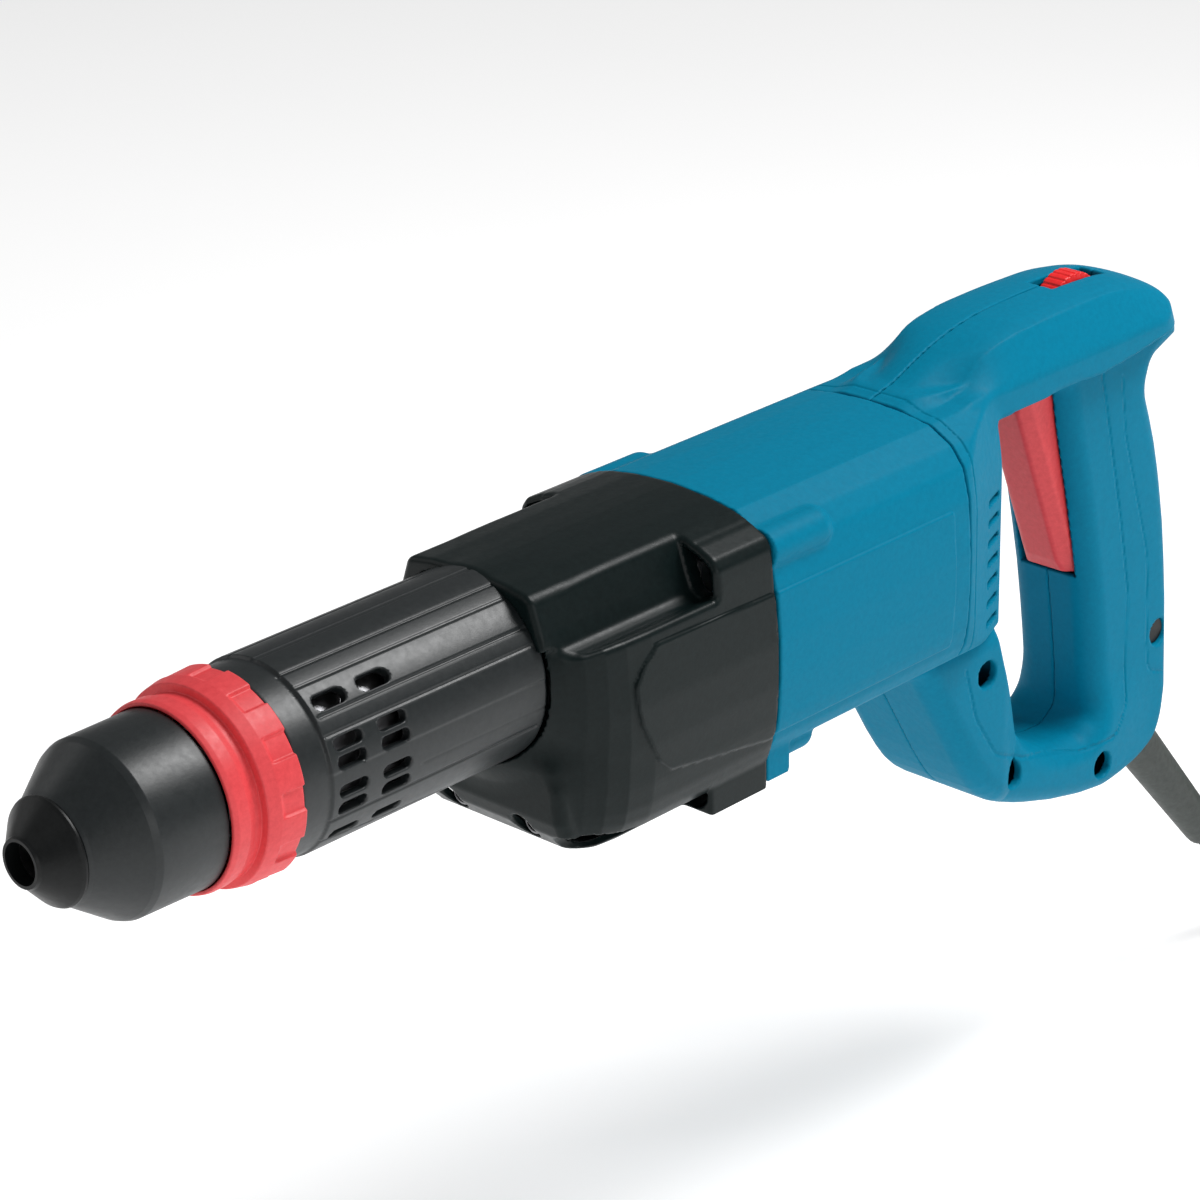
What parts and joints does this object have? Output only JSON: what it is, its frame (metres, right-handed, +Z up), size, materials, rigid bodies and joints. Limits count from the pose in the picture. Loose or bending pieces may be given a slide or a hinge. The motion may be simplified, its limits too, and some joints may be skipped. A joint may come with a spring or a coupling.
{
  "type": "demolition hammer",
  "caption": "Corded demolition hammer: chuck with dust cap, sliding lock cover and change ring, ribbed barrel, gear case, motor housing and D-handle with trigger, dial and cord.",
  "frame": {"origin": "middle of the hand grip, on the handle's split plane, 45 mm below the striking axis", "axes": "+X forward along the striking axis, towards the chisel; +Y to the operator's left; +Z up"},
  "size_m": [0.7631, 0.075, 0.243],
  "materials": {
    "rubber_black": "satin, faint pebble",
    "plastic_black": "glass-filled nylon, fine texture",
    "plastic_blue": "glass-filled nylon, fine texture",
    "plastic_red": "satin moulded",
    "plastic_dial": "satin moulded",
    "plastic_grey": "moulded",
    "steel_dark": "oiled, hardened",
    "steel_bright": "ground",
    "steel_zinc": "zinc plated",
    "aluminium_cast": "cast",
    "spring_steel": "drawn wire",
    "rubber_seal": "smooth",
    "bronze": "sintered bronze",
    "copper": "enamelled copper wire",
    "laminations": "stacked sheet",
    "carbon": "pressed carbon",
    "fan_plastic": "natural nylon",
    "cord_rubber": "matt rubber sheath",
    "tie_rubber": "ribbed band"
  },
  "bodies": {
    "housing": {"barrel_cover": "plastic_black", "index_ring": "steel_bright", "cylinder_housing": "aluminium_cast", "oil_seal": "rubber_seal", "holder_bush": "bronze", "cylinder": "steel_bright", "bolt_damper": "rubber_seal", "intermediate_front_bearing": "steel_bright", "intermediate_rear_bearing": "steel_bright", "gear_housing": "plastic_black", "gear_case": "aluminium_cast", "bearing_plate": "aluminium_cast", "front_screws": "steel_zinc", "housing_bolts": "steel_zinc", "motor_housing": "plastic_blue", "armature_front_bearing": "steel_bright", "armature_rear_bearing": "steel_bright", "stator": "laminations", "field_coils": "copper", "brush_holders": "bronze", "carbon_brushes": "carbon", "handle_left": "plastic_blue", "handle_right": "plastic_blue", "handle_screws": "steel_zinc", "trigger_pin": "steel_bright", "switch_body": "plastic_grey", "speed_controller": "plastic_grey", "terminal_block": "plastic_grey", "cord_guard": "rubber_black", "cord_clamp": "plastic_grey", "cord_inner": "cord_rubber", "power_cord": "cord_rubber", "cord_tail": "cord_rubber", "cord_coil": "cord_rubber", "cord_tie": "tie_rubber", "plug": "rubber_black"},
    "chuck": {"tool_holder": "steel_dark", "dust_cap": "rubber_black", "locking_balls": "steel_bright", "chuck_spring": "spring_steel"},
    "lock_cover": {"chuck_cover": "plastic_black", "release_ring": "steel_bright"},
    "change_ring": {"change_ring": "plastic_red"},
    "impact_bolt": {"impact_bolt": "steel_dark"},
    "striker": {"striker": "steel_dark", "striker_ring": "rubber_seal"},
    "piston": {"piston": "aluminium_cast"},
    "swash_arm": {"swash_arm": "steel_dark"},
    "intermediate": {"intermediate_shaft": "steel_bright", "swash_hub": "steel_dark", "swash_balls": "steel_bright", "drive_gear": "steel_dark"},
    "armature": {"motor_shaft": "steel_bright", "armature_core": "laminations", "armature_windings": "copper", "commutator": "copper", "cooling_fan": "fan_plastic"},
    "trigger": {"trigger": "plastic_red"},
    "speed_dial": {"speed_dial": "plastic_dial"}
  },
  "joints": [
    {"name": "chuck_turn", "type": "hinge", "parent": "housing", "child": "chuck", "pos_m": [0.331, 0, 0.045], "axis": [1, 0, 0], "continuous": true},
    {"name": "cover_slide", "type": "slide", "parent": "chuck", "child": "lock_cover", "axis": [-1, 0, 0], "range_m": [0, 0.008], "stiffness_N_per_m": 900, "springref_m": -0.004, "deforming": ["chuck_spring"]},
    {"name": "ring_slide", "type": "slide", "parent": "housing", "child": "change_ring", "axis": [1, 0, 0], "range_m": [0, 0.006]},
    {"name": "bolt_slide", "type": "slide", "parent": "housing", "child": "impact_bolt", "axis": [1, 0, 0], "range_m": [0, 0.005]},
    {"name": "striker_slide", "type": "slide", "parent": "housing", "child": "striker", "axis": [1, 0, 0], "range_m": [0, 0.007]},
    {"name": "swash_rock", "type": "hinge", "parent": "housing", "child": "swash_arm", "pos_m": [0.219, 0, 0.0145], "axis": [0, 1, 0], "range_deg": [-15, 15]},
    {"name": "piston_slide", "type": "slide", "parent": "housing", "child": "piston", "axis": [1, 0, 0], "range_m": [-0.008, 0.008]},
    {"name": "intermediate_spin", "type": "hinge", "parent": "housing", "child": "intermediate", "pos_m": [0.215, 0, 0.0145], "axis": [1, 0, 0], "continuous": true},
    {"name": "armature_spin", "type": "hinge", "parent": "housing", "child": "armature", "pos_m": [0.151, 0, 0.0355], "axis": [1, 0, 0], "continuous": true},
    {"name": "trigger_pull", "type": "hinge", "parent": "housing", "child": "trigger", "pos_m": [0.039, 0, 0.058], "axis": [0, 1, 0], "range_deg": [0, 7], "stiffness_Nm_per_rad": 1.2, "springref_deg": -8.59},
    {"name": "dial_turn", "type": "hinge", "parent": "housing", "child": "speed_dial", "pos_m": [0.017, 0, 0.0716], "axis": [0, 1, 0], "range_deg": [-130, 130]}
  ],
  "couplings": [
    {"joint": "intermediate_spin", "follows": "armature_spin", "ratio": -0.27273},
    {"joint": "piston_slide", "follows": "swash_rock", "m_per_rad": 0.0302}
  ]
}
